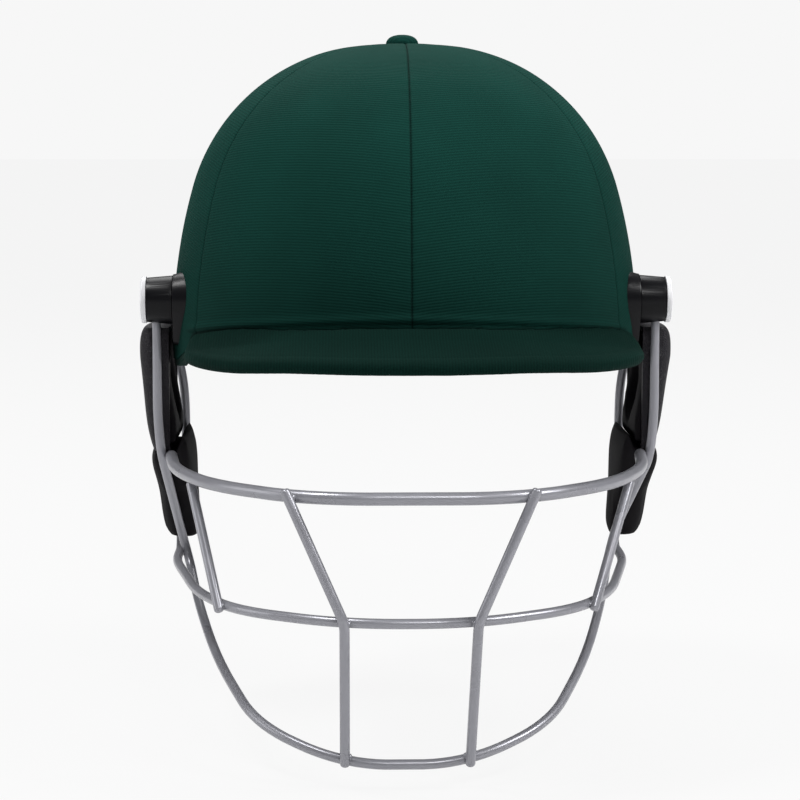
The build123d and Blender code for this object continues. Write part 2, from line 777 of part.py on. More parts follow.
def block_section(drop, front, rear, outer, inner, corner, crown, inner_crown):
    """Level section of a guard or pad: rounded outer corners and crowned faces."""
    ease = corner * (1 - cos(radians(45)))
    middle = (front + rear) / 2
    with BuildSketch(Plane.XY.offset(-drop), mode=Mode.PRIVATE) as section:
        with BuildLine():
            before = Line((inner, front), (outer - corner, front))
            turn = ThreePointArc(before @ 1, (outer - ease, front + ease), (outer, front + corner))
            face = ThreePointArc(turn @ 1, (outer + crown, middle), (outer, rear - corner))
            back = ThreePointArc(face @ 1, (outer - ease, rear - ease), (outer - corner, rear))
            behind = Line(back @ 1, (inner, rear))
            if inner_crown:
                ThreePointArc(behind @ 1, (inner - inner_crown, middle), before @ 0)
            else:
                Line(behind @ 1, before @ 0)
        make_face()
    return section.sketch.face()


def behind_side_wire(drop, gap):
    """How far back a piece may start at this level, clear of the sloping side wire."""
    share = at_drop(side_path, drop)
    return (side_path @ share).Y + (wire_radius + gap) / abs((side_path % share).Z)


guard_rear = rear_wire_back - wire_radius - guard_rear_gap
guard_height = guard_bottom_drop - guard_top_drop


def guard_block(inset, inner_shift, leans, inner_crown):
    """The ear guard's outer form drawn in by inset, from its inner face outwards."""
    sections = []
    for level, bulge, back, lean in zip(
            guard_level_shares, guard_bulge_shares, guard_rear_inset_shares, leans):
        drop = guard_top_drop + inset + (guard_height - 2 * inset) * level
        outer = guard_inner_x + (guard_outer_x - guard_inner_x) * bulge - inset
        front = behind_side_wire(drop, guard_front_gap) + inset
        rear = guard_rear - inset - back * guard_rear_inset
        inner = guard_inner_x + inner_shift - lean * ear_pad_lean
        sections.append(block_section(
            drop, front, rear, outer, inner, guard_corner - inset / 2, guard_crown, inner_crown))
    with BuildPart(mode=Mode.PRIVATE) as block:
        loft(sections)
    return block.part


def tabs(grow):
    """Steel tabs from the side wire into the guard, or with grow the slots for them."""
    with BuildPart(mode=Mode.PRIVATE) as plates:
        for share in tab_drop_shares:
            drop = guard_top_drop + share * guard_height
            x = (side_path @ at_drop(side_path, drop)).X
            root = -bolt_ahead + wire_radius - weld_sink
            with BuildSketch(Plane.XY.offset(-drop - tab_height / 2 - grow)):
                with Locations((x, root)):
                    Rectangle(tab_plate + 2 * grow, tab_reach + grow, align=(Align.CENTER, Align.MIN))
            extrude(amount=tab_height + 2 * grow)
    return plates.part


ear_plane = side_plane(ear_hole_back, -ear_hole_drop)
with BuildPart() as ear_guard_shell:
    add(guard_block(0, 0, [0] * len(guard_level_shares), 0))
    add(guard_block(guard_wall, -overrun, [0] * len(guard_level_shares), 0), mode=Mode.SUBTRACT)
    with BuildSketch(ear_plane):
        with GridLocations(0, slot_pitch, 1, slot_count):
            SlotOverall(slot_length, slot_width)
    extrude(amount=guard_outer_x + overrun, mode=Mode.SUBTRACT)
    add(tabs(tab_slot_gap), mode=Mode.SUBTRACT)
save_pair(ear_guard_shell, "ear_guard_shell")

with BuildPart() as ear_pad:
    add(guard_block(guard_wall + ear_pad_gap, ear_pad_gap, ear_pad_lean_shares, ear_pad_crown))
    with BuildSketch(ear_plane):
        Circle(ear_hole_radius)
    extrude(amount=guard_outer_x + overrun, mode=Mode.SUBTRACT)
    add(tabs(tab_slot_gap), mode=Mode.SUBTRACT)
save_pair(ear_pad, "ear_pad")

with BuildPart() as guard_tab:
    add(tabs(0))
save_pair(guard_tab, "guard_tab")

# Jaw pad, behind the sloping side wire
jaw_top_drop = guard_bottom_drop + seat_gap
jaw_sections = []
for level, draw, back in zip(jaw_level_shares, jaw_draw_shares, jaw_rear_inset_shares):
    drop = jaw_top_drop + (jaw_bottom_drop - jaw_top_drop) * level
    pull = draw * jaw_draw
    jaw_sections.append(block_section(
        drop, behind_side_wire(drop, jaw_wire_gap) + pull / 2,
        guard_rear - back * jaw_rear_inset - pull / 2,
        jaw_outer_x - jaw_outer_lean * level - pull,
        jaw_inner_x - jaw_inner_lean * level + pull,
        jaw_corner * (1 - draw / 2), jaw_crown, jaw_crown))
with BuildPart() as jaw_pad:
    loft(jaw_sections)
save_pair(jaw_pad, "jaw_pad")


# Chin strap, folded back inside the rear rim; its halves run from a rivet to a slider
strap_face = strap_outer + strap_wall + seat_gap
with BuildPart() as strap:
    for step, tuck in zip(strap_shares, strap_tuck_shares):
        turn = strap_start_angle + (strap_end_angle - strap_start_angle) * step
        inset = strap_outer + (strap_inner - strap_outer) * tuck
        with BuildSketch(dome_plane(turn, strap_level(turn, inset), inset)):
            Rectangle(strap_wall, strap_width, align=(Align.MAX, Align.CENTER))
    loft()
    add(rivet_drill(rivet_stem_radius + running_gap, -overrun, overrun), mode=Mode.SUBTRACT)
save_pair(strap, "chin_strap")

with BuildPart() as strap_rivet:
    add(rivet_drill(rivet_stem_radius, shell_inset, strap_face + rivet_head))
    add(rivet_drill(rivet_radius, strap_face, strap_face + rivet_head))
save_pair(strap_rivet, "strap_rivet")

# Slider that joins the strap's two ends behind the neck
slider_back = stretch(strap_inner, 180) * (half_width - strap_inner) - strap_wall / 2
with BuildPart() as strap_slider:
    with BuildSketch(Plane.XZ.offset(-slider_back - slider_wall / 2)):
        with Locations((0, strap_level(180, strap_inner))):
            RectangleRounded(2 * slider_half_width, slider_height, slider_corner)
    extrude(amount=slider_wall)
    with BuildSketch(Plane.YZ.offset(-slider_half_width)):
        with Locations((slider_back, strap_level(180, strap_inner))):
            Rectangle(strap_wall + slider_play, strap_width + slider_play)
    extrude(amount=2 * slider_half_width, mode=Mode.SUBTRACT)
save(strap_slider, "strap_slider")
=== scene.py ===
from math import asin, cos, exp, pi, radians, sin, sqrt

import bpy
from mathutils import Matrix, Vector, noise
from mathutils.bvhtree import BVHTree


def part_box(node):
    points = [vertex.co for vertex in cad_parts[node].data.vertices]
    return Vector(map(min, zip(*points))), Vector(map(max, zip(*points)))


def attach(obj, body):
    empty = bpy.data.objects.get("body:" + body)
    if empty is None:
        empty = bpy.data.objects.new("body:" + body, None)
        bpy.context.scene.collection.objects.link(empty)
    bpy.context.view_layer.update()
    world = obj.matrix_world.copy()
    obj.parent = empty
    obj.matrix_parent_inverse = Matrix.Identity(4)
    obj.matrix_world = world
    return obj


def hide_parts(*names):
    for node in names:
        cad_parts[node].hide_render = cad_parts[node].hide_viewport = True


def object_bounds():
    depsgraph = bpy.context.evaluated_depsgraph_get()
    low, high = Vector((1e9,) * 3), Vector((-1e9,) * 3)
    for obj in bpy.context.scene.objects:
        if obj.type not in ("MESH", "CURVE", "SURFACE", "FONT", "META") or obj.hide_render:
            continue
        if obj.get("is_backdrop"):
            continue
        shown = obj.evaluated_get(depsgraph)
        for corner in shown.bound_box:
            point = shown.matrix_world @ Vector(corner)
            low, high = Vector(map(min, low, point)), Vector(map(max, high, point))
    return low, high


# A cloth-covered cricket helmet: a panelled dome with a wrapped peak, and a painted
# wire grille with ear guards that tilts on two side bolts.
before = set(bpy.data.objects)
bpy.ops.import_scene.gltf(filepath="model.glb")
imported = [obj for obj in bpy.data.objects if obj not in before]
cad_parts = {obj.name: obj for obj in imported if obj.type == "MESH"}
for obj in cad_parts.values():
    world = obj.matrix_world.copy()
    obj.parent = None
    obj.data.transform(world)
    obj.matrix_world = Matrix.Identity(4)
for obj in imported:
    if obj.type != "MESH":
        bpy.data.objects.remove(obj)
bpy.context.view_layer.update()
mm = 0.001


# Room
# A pale floor, low enough for the grille tilted right down, and an even pale surround,
# lit by soft lamps: one overhead behind, one high on each side, one in front, one weak.
def colour(code):
    """The linear colour of an sRGB hex value."""
    parts = [int(code[at:at + 2], 16) / 255 for at in (1, 3, 5)]
    return (*[p / 12.92 if p <= 0.04045 else ((p + 0.055) / 1.055) ** 2.4 for p in parts], 1)


def add_node(tree, kind, inputs=None, **settings):
    """Add a node; an input takes a value or another node's output."""
    made = tree.nodes.new(kind)
    for name, value in settings.items():
        setattr(made, name, value)
    for name, value in (inputs or {}).items():
        if isinstance(value, bpy.types.NodeSocket):
            tree.links.new(value, made.inputs[name])
        else:
            made.inputs[name].default_value = value
    return made


def new_material(name):
    """An empty material, its tree and its output node."""
    made = bpy.data.materials.new(name)
    made.use_nodes = True
    made.node_tree.nodes.clear()
    return made, made.node_tree, add_node(made.node_tree, "ShaderNodeOutputMaterial")


bpy.context.scene.view_settings.view_transform = "Standard"
room_to_tilt = 8.6 * mm
floor_level = min(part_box(node)[0].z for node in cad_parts) - room_to_tilt
bpy.ops.mesh.primitive_plane_add(size=60, location=(0, 0, floor_level))
floor = bpy.context.object
floor.name = "floor"
floor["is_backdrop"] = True

# Matt paper: its own light lifts it to a plain pale field for the camera and in reflections
paper, tree, output = new_material("matt_paper")
path = add_node(tree, "ShaderNodeLightPath")
seen = add_node(tree, "ShaderNodeMath", {0: path.outputs["Is Camera Ray"], 1: path.outputs["Is Glossy Ray"]},
                operation="MAXIMUM")
seen = add_node(tree, "ShaderNodeMath", {0: seen.outputs[0], 1: path.outputs["Is Transmission Ray"]},
                operation="MAXIMUM")
glow = add_node(tree, "ShaderNodeEmission", {"Color": colour("#F8F8F8")})
lit = add_node(tree, "ShaderNodeBsdfDiffuse", {"Color": colour("#F2F2F2")})
share = add_node(tree, "ShaderNodeMath", {0: seen.outputs[0], 1: 0.96}, operation="MULTIPLY")
both = add_node(tree, "ShaderNodeMixShader", {0: share.outputs[0], 1: lit.outputs[0], 2: glow.outputs[0]})
tree.links.new(both.outputs[0], output.inputs["Surface"])
floor.data.materials.append(paper)

world = bpy.data.worlds.new("surround")
bpy.context.scene.world = world
world.use_nodes = True
tree = world.node_tree
tree.nodes.clear()
output = add_node(tree, "ShaderNodeOutputWorld")
path = add_node(tree, "ShaderNodeLightPath")
seen = add_node(tree, "ShaderNodeMath",
                {0: path.outputs["Is Camera Ray"], 1: path.outputs["Is Transmission Ray"]},
                operation="MAXIMUM")
pale = add_node(tree, "ShaderNodeBackground", {"Color": colour("#F7F7F7"), "Strength": 1.0})
soft = add_node(tree, "ShaderNodeBackground", {"Color": colour("#F0F3F6"), "Strength": 0.14})
both = add_node(tree, "ShaderNodeMixShader", {0: seen.outputs[0], 1: soft.outputs[0], 2: pale.outputs[0]})
tree.links.new(both.outputs[0], output.inputs["Surface"])

for name, place, size, watts in (("top_lamp", (-0.1, 1.2, 1.6), 1.2, 22),
                                 ("high_left_lamp", (-0.8, -0.25, 1.7), 0.4, 26),
                                 ("right_lamp", (1.45, -0.45, 1.2), 0.7, 32),
                                 ("front_lamp", (0.3, -1.6, 1.3), 0.4, 14),
                                 ("left_lamp", (-1.8, -0.1, 0.5), 1.0, 8)):
    lamp = bpy.data.lights.new(name, "AREA")
    lamp.size = size
    lamp.energy = watts
    holder = bpy.data.objects.new(name, lamp)
    bpy.context.scene.collection.objects.link(holder)
    holder.location = place
    holder.rotation_euler = (-Vector(place)).to_track_quat("-Z", "Y").to_euler()

# Camera
# A long lens a little below the crown and to the wearer's right, tipped down to the
# grille.
camera = bpy.data.objects.new("camera", bpy.data.cameras.new("camera"))
bpy.context.scene.collection.objects.link(camera)
bpy.context.scene.camera = camera
camera.data.lens = 110.25
camera.data.sensor_width = 36
turned_aside, tipped_down, turned_back = radians(1.6), radians(6.13), radians(0.152)
camera_distance, pivot_ahead, camera_level = 1.158, 0.030, 0.082
camera.location = (-camera_distance * sin(turned_aside),
                   -pivot_ahead - camera_distance * cos(turned_aside), camera_level)
camera.rotation_euler = (radians(90) - tipped_down, 0, turned_back - turned_aside)


# Cloth-covered dome
# Six gores of fine ribbed cloth are sewn together and drawn tight over a thin foam on
# the moulded shell. Each stands a little full between its seams and dips at them.
half_width, front_length, rear_length = 111.8, 118.0, 135.0
peak_end_angle, peak_end_drop = 66.0, 9.0
dome_arcs = (((0, -92.6), 219.0, 90.0, 84.452), ((12.183, 32.810), 93.0, 84.452, 15.991),
             ((-152.2, -14.3), 264.0, 15.991, -20.0))
wall_start_run = 132.33  # the run from the crown to where the last arc, the wall, begins
(_, wall_centre_level), wall_radius, wall_start_angle, _ = dome_arcs[2]
rim_corners = ((-200, -7.5), (-73.16, -7.5), (-28.32, -23.0), (40.5, -25.0), (155, -37.0))
below_rim_run = 200
crown_opening_run = 2.4
flat_steps = 60
cloth_wall = 0.75


def bands_per(period):
    """The wave texture's scale for bands that repeat each period, in millimetres."""
    return 2 * pi / 20 / (period * mm)


def dome_line(down, lift=0):
    """Distance from the axis and level of the dome's side, a run down from its crown."""
    for (across, up), radius, start, end in dome_arcs:
        turn = radians(start) - down / radius
        if turn >= radians(end):
            return across + (radius + lift) * cos(turn), up + (radius + lift) * sin(turn)
        down -= radians(start - end) * radius


def run_to(level):
    """The run down from the crown to a level on the dome's wall."""
    wall_turn = radians(wall_start_angle) - asin((level - wall_centre_level) / wall_radius)
    return wall_start_run + wall_radius * wall_turn


def dome_place(angle, down, lift=0):
    """A place on the dome: its angle round from the front, its run from the crown, its lift."""
    out, level = dome_line(down, lift)
    turn = radians(angle)
    pull = (front_length if cos(turn) > 0 else rear_length) / half_width
    return Vector((out * sin(turn), -pull * out * cos(turn), level))


def rim_level(angle):
    """The level of the rim at an angle round from the front."""
    back = dome_place(angle, below_rim_run).y
    for (y0, z0), (y1, z1) in zip(rim_corners, rim_corners[1:]):
        if y0 <= back <= y1:
            return z0 + (z1 - z0) * (back - y0) / (y1 - y0)


def line_length(places):
    """Length in metres of the line through places in millimetres."""
    return sum((far - near).length for near, far in zip(places, places[1:])) * mm


def joint_level(angle):
    """Where the peak leaves the dome, lower towards the temples."""
    share = min(abs(angle), peak_end_angle)
    return -peak_end_drop * (1 - cos(radians(share))) / (1 - cos(radians(peak_end_angle)))


def cloth_lift(angle, down, edge, level):
    """How far the cloth stands off its plain form: full in the middle of a gore, dipped
    and slightly puckered at a seam, and rolled over just above the peak."""
    rise = 0.38 * (1 - exp(-(edge / 15) ** 2)) - 0.5 * exp(-edge / 0.6)
    rise += 0.07 * sin(down * 2 * pi / 8.5 + 2 * noise.noise((angle / 9, down / 11, 0))) * exp(-edge / 5)
    rise += 0.10 * noise.noise((angle / 14, down / 26, 3))
    above = level - joint_level(angle)
    near = 1 / (1 + exp((abs(angle) - peak_end_angle - 1) / 1.2))
    rise += near * (0.75 * exp(-((above - 2.3) / 1.7) ** 2) - 0.4 * exp(-(above / 0.6) ** 2))
    return rise


def add_gore(name, node, start, end, curve):
    """One gore: a flat piece of cloth laid over the dome between two seams."""
    bpy.ops.object.select_all(action="DESELECT")
    bpy.ops.mesh.primitive_grid_add(x_subdivisions=104, y_subdivisions=190, size=1)
    gore = bpy.context.object
    gore.name = name
    mesh = gore.data
    middle = (start + end) / 2
    flat = {}
    # Each corner keeps how deep the painted shade on the cloth is there
    seam_and_joint_shade = mesh.attributes.new("seam_and_joint_shade", "FLOAT", "POINT")
    for corner in mesh.vertices:
        across, along = corner.co.x + 0.5, 0.5 - corner.co.y
        across = 0.35 * across + 0.65 * (1 - cos(pi * across)) / 2
        angle = start + (end - start) * across
        foot = run_to(rim_level(angle))
        down = crown_opening_run + (foot - crown_opening_run) * (1 - (1 - along) ** 1.15)
        out, level = dome_line(down)
        edge = max(radians(min(angle - start, end - angle)) * out, 0.02)
        sideways = radians(angle - middle) * out
        flat[corner.index] = (sideways * mm, (down - curve * sideways ** 2) * mm)
        corner.co = dome_place(angle, down, cloth_lift(angle, down, edge, level)) * mm
        # Painted shade in the seam dips, deepest along the front seam
        painted_shade = 0.9 if min(abs(angle), abs(start), abs(end)) < 1 and abs(angle) < 30 else 0.55
        seam_and_joint_shade.data[corner.index].value = painted_shade * exp(-(edge / 0.45) ** 2)
    for loop in mesh.loops:
        mesh.uv_layers.active.data[loop.index].uv = flat[loop.vertex_index]
    finish_cloth(gore)
    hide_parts(node)
    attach(gore, "shell")
    # The flat cut is as long as the gore's longest seam and as wide as the gore where it is widest
    feet = {angle: run_to(rim_level(angle)) for angle in (start, middle, end)}
    steps = [step / flat_steps for step in range(flat_steps + 1)]
    longest = max(line_length([dome_place(angle, foot * step) for step in steps])
                  for angle, foot in feet.items())
    lowest_run = min(feet.values())
    widest = line_length([dome_place(start + (end - start) * step, lowest_run) for step in steps])
    return gore


def apply_modifiers(piece):
    """Apply every modifier of a piece, in order."""
    bpy.context.view_layer.objects.active = piece
    for modifier in list(piece.modifiers):
        bpy.ops.object.modifier_apply(modifier=modifier.name)


def finish_cloth(piece):
    """Face the cloth outwards, give it its thickness inwards and shade it smooth."""
    bpy.ops.object.mode_set(mode="EDIT")
    bpy.ops.mesh.select_all(action="SELECT")
    bpy.ops.mesh.normals_make_consistent(inside=False)
    bpy.ops.object.mode_set(mode="OBJECT")
    inside = Vector((0, 0, 20)) * mm
    outward = sum(face.normal.dot(face.center - inside) for face in piece.data.polygons)
    if outward < 0:
        piece.data.flip_normals()
    wall = piece.modifiers.new("thickness", "SOLIDIFY")
    wall.thickness = cloth_wall * mm
    wall.offset = -1
    apply_modifiers(piece)
    bpy.ops.object.shade_smooth_by_angle(angle=radians(50))


def ribbed_cloth(name, coordinates, base="#0A2D27", turn=0):
    """Fine ribbed wool-and-polyester cloth: cords across the gore, a soft nap that catches
    light at a glance, unevenness from dyeing, painted light and shade that runs from darker
    at the rim to lighter at the crown, and painted shade at the seams and along the peak."""
    made, tree, output = new_material(name)
    place = add_node(tree, "ShaderNodeTexCoord")
    turned = add_node(tree, "ShaderNodeMapping", {"Vector": place.outputs[coordinates]})
    turned.inputs["Rotation"].default_value[2] = turn
    rib = add_node(tree, "ShaderNodeTexWave",
                   {"Vector": turned.outputs[0], "Scale": bands_per(1.3), "Distortion": 0.9,
                    "Detail": 2.0, "Detail Scale": 0.6, "Detail Roughness": 0.6},
                   wave_type="BANDS", bands_direction="Y", wave_profile="SIN")
    thread = add_node(tree, "ShaderNodeTexWave",
                      {"Vector": turned.outputs[0], "Scale": bands_per(0.55), "Distortion": 2.5,
                       "Detail": 1.0, "Detail Scale": 1.5},
                      wave_type="BANDS", bands_direction="X", wave_profile="SIN")
    object_place = place.outputs["Object"]
    fibre = add_node(tree, "ShaderNodeTexNoise", {"Vector": object_place, "Scale": 1400.0, "Detail": 3.0})
    patch = add_node(tree, "ShaderNodeTexNoise", {"Vector": object_place, "Scale": 22.0, "Detail": 3.0})
    weave = add_node(tree, "ShaderNodeMath", {0: thread.outputs["Fac"], 1: 0.3, 2: rib.outputs["Fac"]},
                     operation="MULTIPLY_ADD")
    weave = add_node(tree, "ShaderNodeMath", {0: fibre.outputs["Fac"], 1: 0.35, 2: weave.outputs[0]},
                     operation="MULTIPLY_ADD")
    shade = add_node(tree, "ShaderNodeMapRange",
                     {"Value": weave.outputs[0], "From Min": 0.1, "From Max": 1.4,
                      "To Min": 0.76, "To Max": 1.2})
    fade = add_node(tree, "ShaderNodeMapRange",
                    {"Value": patch.outputs["Fac"], "From Min": 0.3, "From Max": 0.7,
                     "To Min": 0.9, "To Max": 1.1})
    both = add_node(tree, "ShaderNodeMath", {0: shade.outputs[0], 1: fade.outputs[0]}, operation="MULTIPLY")
    # Painted light and shade: the colour darkens towards the rim and lightens towards the crown, as light
    # from above would make it
    height = add_node(tree, "ShaderNodeSeparateXYZ", {0: object_place}).outputs["Z"]
    painted_light_by_height = add_node(tree, "ShaderNodeMapRange",
                     {"Value": height, "From Min": -5 * mm, "From Max": 95 * mm,
                      "To Min": 0.74, "To Max": 1.10})
    both = add_node(tree, "ShaderNodeMath", {0: both.outputs[0], 1: painted_light_by_height.outputs[0]}, operation="MULTIPLY")
    # Painted shade: the cloth's colour is darkened at the seams and along the line where the gores meet the
    # peak
    painted_shade = add_node(tree, "ShaderNodeAttribute", attribute_name="seam_and_joint_shade")
    painted_shade = add_node(tree, "ShaderNodeMapRange",
                    {"Value": painted_shade.outputs["Fac"], "To Min": 1.0, "To Max": 0.25})
    both = add_node(tree, "ShaderNodeMath", {0: both.outputs[0], 1: painted_shade.outputs[0]}, operation="MULTIPLY")
    tone = add_node(tree, "ShaderNodeMix", data_type="RGBA", blend_type="MULTIPLY")
    tone.inputs[0].default_value = 1.0
    tone.inputs[6].default_value = colour(base)
    tree.links.new(both.outputs[0], tone.inputs[7])
    relief = add_node(tree, "ShaderNodeBump",
                      {"Height": weave.outputs[0], "Strength": 1.0, "Distance": 0.07 * mm})
    skin = add_node(tree, "ShaderNodeBsdfPrincipled",
                    {"Base Color": tone.outputs[2], "Roughness": 0.8, "Specular IOR Level": 0.03,
                     "Sheen Weight": 0.03, "Sheen Roughness": 0.4, "Sheen Tint": colour("#7FC9B8"),
                     "Normal": relief.outputs[0]})
    tree.links.new(skin.outputs[0], output.inputs["Surface"])
    return made


gore_cloth = ribbed_cloth("ribbed_cloth_gore", "UV")
gores = []
seam_front, seam_rear = 61.32, 115.57
for side, way in (("left", 1), ("right", -1)):
    for part, start, end, curve in (("front", 0, seam_front, 0.0013), ("side", seam_front, seam_rear, 0.0029),
                                    ("rear", seam_rear, 180, 0.0012)):
        low, high = sorted((start * way, end * way))
        gore = add_gore(f"gore_{part}_{side}", f"cover_panel_{part}_{side}", low, high, curve)
        gore.data.materials.append(gore_cloth)
        gores.append(gore)


# Crown button
# A small wooden button wrapped in the same cloth, gathered underneath and pulled down
# on the crown where the six gores meet.
bpy.ops.object.select_all(action="DESELECT")
foot_radius, foot_level = 5.4, 124.6
bpy.ops.mesh.primitive_circle_add(vertices=96, radius=foot_radius * mm, fill_type="NGON",
                                  location=(0, 0, foot_level * mm))
button = bpy.context.object
button.name = "covered_button"
bpy.ops.object.mode_set(mode="EDIT")
bpy.ops.mesh.select_all(action="SELECT")
width = foot_radius
for radius, rise in ((6.3, 0.5), (6.8, 0.9), (6.9, 0.8), (6.6, 1.1),
                     (5.9, 1.1), (4.7, 0.9), (2.9, 0.6), (1.2, 0.25)):
    bpy.ops.mesh.extrude_region_move(TRANSFORM_OT_translate={"value": (0, 0, rise * mm)})
    bpy.ops.transform.resize(value=(radius / width, radius / width, 1))
    width = radius
bpy.ops.object.mode_set(mode="OBJECT")
bpy.ops.object.transform_apply(location=True, rotation=True, scale=True)
smoother = button.modifiers.new("smooth", "SUBSURF")
smoother.levels = smoother.render_levels = 1
apply_modifiers(button)
button_spread, button_aside, gather_level = 1.15, 1.3, 126.2
for corner in button.data.vertices:
    turn = 0 if corner.co.xy.length < 1e-6 else corner.co.xy.angle_signed(Vector((1, 0)))
    low = exp(-((corner.co.z / mm - gather_level) / 1.6) ** 2)
    corner.co.xy *= button_spread * (0.97 + 0.03 * low * (0.5 + 0.5 * sin(14 * turn)))
    corner.co.x -= button_aside * mm
bpy.ops.object.shade_smooth()
button.data.materials.append(ribbed_cloth("ribbed_cloth_button", "Object"))
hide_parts("crown_button")
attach(button, "shell")


# Peak
# A stiff cap peak wrapped in the cloth: the cloth is turned over a soft roll at its
# edge, drawn flat above and below, and closed where the peak meets the dome.
def welded(node, name):
    """A copy of a solid with its loose triangles joined up."""
    bpy.ops.object.select_all(action="DESELECT")
    piece = bpy.data.objects.new(name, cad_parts[node].data.copy())
    bpy.context.scene.collection.objects.link(piece)
    piece.select_set(True)
    bpy.context.view_layer.objects.active = piece
    piece.data.materials.clear()
    bpy.ops.mesh.customdata_custom_splitnormals_clear()
    bpy.ops.object.mode_set(mode="EDIT")
    bpy.ops.mesh.select_all(action="SELECT")
    bpy.ops.mesh.remove_doubles(threshold=0.01 * mm)
    bpy.ops.object.mode_set(mode="OBJECT")
    return piece


def share_of(value):
    """A value held between 0 and 1."""
    return min(max(value, 0), 1)


def eased_share(value):
    """A value held between 0 and 1, easing in and out of both ends."""
    value = share_of(value)
    return value * value * (3 - 2 * value)


def peak_sag(place, above):
    """How far the peak's edge hangs below its stiff form, most at its ends, how far its
    padded ends rise beside the dome, and how the wearer's right end is drawn in."""
    end = eased_share((abs(place.x) / mm - 45) / 50)
    clear = 115 * (sqrt((place.x / mm / half_width) ** 2 + (place.y / mm / front_length) ** 2) - 1)
    hang = eased_share(clear / 16)
    pull = 5.0 * eased_share((-place.x / mm - 55) / 50)
    return Vector((pull, 0, 2.6 * end * (1 - hang) * above - (0.9 + 2.4 * end) * hang)) * mm


peak = welded("peak_core", "wrapped_peak")
skin = peak.modifiers.new("even", "REMESH")
skin.mode = "VOXEL"
skin.voxel_size = 1.25 * mm
apply_modifiers(peak)
soften = peak.modifiers.new("soften", "SMOOTH")
soften.factor, soften.iterations = 0.5, 6
apply_modifiers(peak)
peak_centre = Vector((0, -0.040))


def bearing(away):
    """The direction of a line from the peak's centre, in sixtieths of a radian from the front."""
    return round(away.angle_signed(Vector((0, -1))) * 60)


spans = {}
for corner in peak.data.vertices:
    away = corner.co.xy - peak_centre
    spans[bearing(away)] = max(spans.get(bearing(away), 0), away.length)


def inside_edge(place):
    """How far a place lies inside the peak's outline, in millimetres."""
    away = place.xy - peak_centre
    step = min(max(bearing(away), min(spans)), max(spans))
    return (spans.get(step, away.length) - away.length) / mm


normals = [corner.normal.copy() for corner in peak.data.vertices]
for corner, normal in zip(peak.data.vertices, normals):
    edge = inside_edge(corner.co)
    above = max(normal.z, 0)
    rise = 0.80 - 0.22 * above * exp(-((edge - 6.5) / 1.2) ** 2)
    rise += 0.12 * above * exp(-((edge - 3.2) / 1.8) ** 2)
    rise += 0.10 * noise.noise(corner.co * 70)
    corner.co += normal * rise * mm + peak_sag(corner.co, above)
# The cloth is folded over the front edge, so its cut is as wide as the peak and twice as long
wall = peak.modifiers.new("thickness", "SOLIDIFY")
wall.thickness = 0.7 * mm
wall.offset = -1
apply_modifiers(peak)
bpy.ops.object.shade_smooth()
# Painted shade: the peak's cloth is a darker copy of the dome's cloth, standing in for the shade of the dome
# above it
peak.data.materials.append(ribbed_cloth("ribbed_cloth_peak_painted_shade", "Object", base="#061F1A", turn=radians(90)))
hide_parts("peak_cover")
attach(peak, "shell")

# The gores get painted shade along the line where they meet the peak, darkest closest to it
wrapped = BVHTree.FromPolygons([corner.co for corner in peak.data.vertices],
                               [face.vertices for face in peak.data.polygons])
for gore in gores:
    seam_and_joint_shade = gore.data.attributes["seam_and_joint_shade"]
    for corner in gore.data.vertices:
        if corner.co.y < 0 and -30 * mm < corner.co.z < 8 * mm:
            gap = wrapped.find_nearest(corner.co, 4 * mm)[3]
            if gap is not None:
                near = exp(-(gap / mm) ** 2)
                seam_and_joint_shade.data[corner.index].value = max(seam_and_joint_shade.data[corner.index].value, near)


# Rim binding
# A folded strip of darker tape is sewn over the raw edges of the gores and the shell,
# all round the rim.
def eased(node, name, body, finish, edge=0.0):
    """A welded copy of a solid with its sharp edges eased, standing in its place."""
    piece = welded(node, name)
    if edge:
        bpy.ops.object.mode_set(mode="EDIT")
        bpy.ops.mesh.select_all(action="SELECT")
        bpy.ops.mesh.dissolve_limited(angle_limit=radians(0.5))
        bpy.ops.object.mode_set(mode="OBJECT")
        ease = piece.modifiers.new("ease", "BEVEL")
        ease.width = edge * mm
        ease.segments = 3
        ease.limit_method = "ANGLE"
        ease.angle_limit = radians(35)
        ease.harden_normals = False
        apply_modifiers(piece)
    bpy.ops.object.shade_smooth_by_angle(angle=radians(32))
    piece.data.materials.append(finish)
    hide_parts(node)
    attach(piece, body)
    return piece


